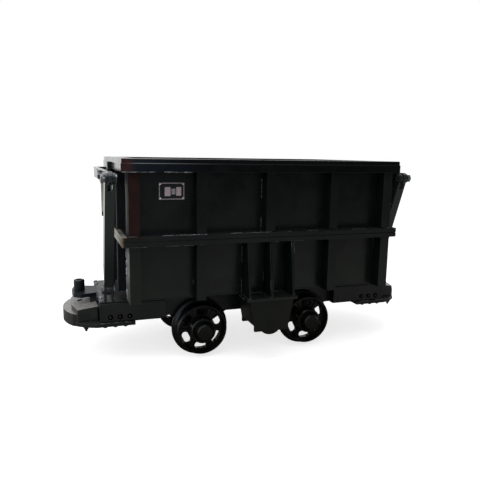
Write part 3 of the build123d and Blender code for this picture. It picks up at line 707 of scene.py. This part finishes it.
BLACK = (colour(0.0028, 0.0041, 0.0036), colour(0.0046, 0.0062, 0.0050))
TRUCK_BLACK = (colour(0.0048, 0.0058, 0.0046), colour(0.0076, 0.0088, 0.0072))
CASTING_BLACK = (colour(0.006, 0.006, 0.006), colour(0.012, 0.012, 0.012))
GUIDE_BLACK = (colour(0.006, 0.008, 0.010), colour(0.010, 0.012, 0.015))
WHEEL_BLACK = (colour(0.0034, 0.0033, 0.0022), colour(0.0052, 0.0050, 0.0034))
RIM_BLACK = (colour(0.0008, 0.0014, 0.0016), colour(0.0014, 0.0022, 0.0024))
# Painted shade: the ribs' black is darker than the panels' black, so that they look as dark as the shaded
# panels beside them.
RIB_SHADED_BLACK = (colour(0.0014, 0.0023, 0.0020), colour(0.0026, 0.0037, 0.0031))
# Painted light: the end wall's black is several times lighter than the rest, to lift the shade in which it
# stands.
END_WALL_FILL_BLACK = (colour(0.011, 0.0128, 0.0142), colour(0.0145, 0.0163, 0.0178))
HOUSING_BLACK = (colour(0.0042, 0.0052, 0.0036), colour(0.0056, 0.0066, 0.0050))
LINKAGE_BLACK = (colour(0.013, 0.0155, 0.016), colour(0.017, 0.0195, 0.020))
# Painted shadow: a near-black with no gloss for the rings round the channel bolts.
BOLT_SHADOW_BLACK = (colour(0.0004, 0.0005, 0.0005), colour(0.0009, 0.0010, 0.0011))
PLATE_FIELD = (colour(0.003, 0.003, 0.004), colour(0.009, 0.008, 0.010))
PLATE_BLANK = (colour(0.34, 0.28, 0.29), colour(0.44, 0.37, 0.38))
PLATE_SCREW = (colour(0.55, 0.50, 0.50), colour(0.75, 0.72, 0.72))

# Tones of each steel, bright and oxidised

PIN_STEEL = (colour(0.24, 0.25, 0.28), colour(0.02, 0.019, 0.018))
# Painted glints: the real beads are black-painted, and these bright steel tones paint in the glints their bumps
# catch; the brightest also serves the deck bolts.
WELD_GLINT_STEEL = (colour(0.16, 0.165, 0.18), colour(0.014, 0.015, 0.016))
WELD_DIM_GLINT_STEEL = (colour(0.14, 0.143, 0.15), colour(0.006, 0.0065, 0.007))
GLINT_STEEL = (colour(0.55, 0.56, 0.60), colour(0.10, 0.10, 0.11))
PLATE_RIM = (colour(0.60, 0.51, 0.53), colour(0.34, 0.29, 0.30))

# Coats that show in places

# A dark red tint at the left corner, a blue stretch of painted reflection and a duller stretch on the rim, a
# tan belt end, painted reflections on the left post and the door legs, a cold jaw, and painted shade on the
# flanks of the ribs, gussets and right post.
# Painted shade: a near-black coat with little gloss, on the flanks of the ribs and gussets and on the right
# post's faces set back from its front.
flank_shade_tone = colour(0.0030, 0.0038, 0.0034)
flank_shade_coat = coat(flank_shade_tone, 0.10, 0.5)
# A dark red tint high on the left corner's post and belt.
red_corner_tint = coat(colour(0.0205, 0.0082, 0.0068), 0.1, 0.6, X=(-0.80, -0.86), Z=(0.86, 0.93), Y=(-0.46, -0.52))
post_coats = [
    red_corner_tint,
    # Painted shade on the right post's faces that are set back from its front.
    coat(flank_shade_tone, 0.10, 0.5, X=(0.70, 0.75), Y=(-0.5795, -0.577)),
    # Painted reflection: a lighter grey low on the left post's outer face stands for the bright reflection seen
    # there.
    coat(colour(0.050, 0.047, 0.043), 0.4, 0.35, X=(-0.9150, -0.9165), Y=(0.0, -0.1), Z=(0.815, 0.78)),
]
rim_coats = [
    # Painted reflection: a blue tone on the left part of the rim's front stands for the cool reflection seen
    # there.
    coat(colour(0.0004, 0.0034, 0.0080), 0.58, 0.17, X=(-0.35, -0.75), Y=(-0.588, -0.594)),
    coat(colour(0.031, 0.013, 0.0115), 0.15, 0.6, X=(-0.86, -0.93), Y=(-0.592, -0.602)),
    coat(colour(0.002, 0.003, 0.003), 0.12, 0.5, X=(-0.85, -0.30), Y=(-0.588, -0.594), Z=(1.328, 1.333)),
]
belt_coats = [
    red_corner_tint,
    coat(colour(0.105, 0.070, 0.038), 0.4, 0.30, X=(-0.945, -0.957)),
    coat(colour(0.19, 0.18, 0.16), 0.2, 0.6, X=(-0.925, -0.94), Z=(0.896, 0.900), Y=(-0.2, -0.3)),
]
# Painted reflection: a pale grey on the door legs' faces turned to -X stands for the bright reflection they
# show.
leg_painted_reflection = [coat(colour(0.47, 0.48, 0.44), 0.2, 0.6, X=(-0.958, -0.964), Y=(0.598, 0.595), Z=(0.92, 0.94))]
jaw_coats = [coat(colour(0.010, 0.013, 0.019), 0.20, 0.40, Z=(0.40, 0.42))]

# Finishes

finishes = {
    "tub_paint": paint_material("tub_paint", BLACK, gloss=0.27),
    "truck_paint": paint_material("truck_paint", TRUCK_BLACK, gloss=0.34, dust=0.08, bumps=0.8),
    "casting_paint": iron_material(
        "casting_paint", CASTING_BLACK, gloss=0.30, bumps=0.8, bare=0.15, top_highlight=0.95, coats=jaw_coats
    ),
    "wheel_iron": iron_material("wheel_iron", WHEEL_BLACK, gloss=0.32, bumps=0.5, bare=0.04, specular=0.32),
    "pin_steel": steel_material("pin_steel", PIN_STEEL, gloss=0.25),
}
linkage = paint_material("linkage_paint", LINKAGE_BLACK, gloss=0.14)
housing = paint_material("housing_paint", HOUSING_BLACK, gloss=0.34, specular=0.29)
special = {
    "corner_posts": paint_material("post_paint", BLACK, gloss=0.27, coats=post_coats, ends=-0.25),
    "tub_rim": paint_material("rim_paint", RIM_BLACK, gloss=0.20, coats=rim_coats, ends=0.06),
    "tub_belt": paint_material("belt_paint", BLACK, gloss=0.27, coats=belt_coats),
    "side_ribs": paint_material("rib_paint", RIB_SHADED_BLACK, gloss=0.29, specular=0.46, flank_shade=flank_shade_coat),
    "end_ribs": paint_material("end_wall_paint", END_WALL_FILL_BLACK, gloss=0.6, specular=0.05),
    "door_ribs": paint_material("door_paint", BLACK, gloss=0.27, coats=leg_painted_reflection),
    "pin_guides": iron_material("guide_paint", GUIDE_BLACK, gloss=0.3, bumps=0.6, bare=0.1, specular=0.3),
    "tie_rod_left": linkage,
    "tie_rod_right": linkage,
    "door_arm_left": linkage,
    "door_arm_right": linkage,
    "roller_plates": housing,
    "roller_pin": housing,
    "roller_bracket": paint_material("bracket_paint", BLACK, gloss=0.27, flank_shade=flank_shade_coat),
}
weld_glint = steel_material("weld_glint", WELD_GLINT_STEEL, gloss=0.2)
weld_dim_glint = steel_material("weld_dim_glint", WELD_DIM_GLINT_STEEL, gloss=0.3)
glint_steel = steel_material("glint_steel", GLINT_STEEL, gloss=0.2)
plate_rim = steel_material("plate_rim", PLATE_RIM, gloss=0.4)
plate_field = paint_material("plate_field", PLATE_FIELD, gloss=0.4, dust=0.0)
plate_blank = paint_material("plate_blank", PLATE_BLANK, gloss=0.5, dust=0.0)
plate_screw = paint_material("plate_screw", PLATE_SCREW, gloss=0.4, dust=0.0)
sunk = paint_material("bolt_shadow_paint", BOLT_SHADOW_BLACK, gloss=0.7, dust=0.0, specular=0.0)

# Pieces

post_reach = 0.055
post_side = limits("tub_near_wall")[1].x + post_reach
dress_nodes(finishes, special)
lay_rim_highlight(weld_glint)
lay_belt_weld(weld_glint, post_side)
lay_rib_welds(glint_steel, weld_dim_glint, post_side)
lay_gusset_weld(weld_dim_glint)
lay_truck_welds(weld_glint)
fit_rod_flanges(linkage)
fit_bolts(finishes["truck_paint"], glint_steel, sunk)
fit_nameplate(plate_rim, plate_field, plate_blank, plate_screw)
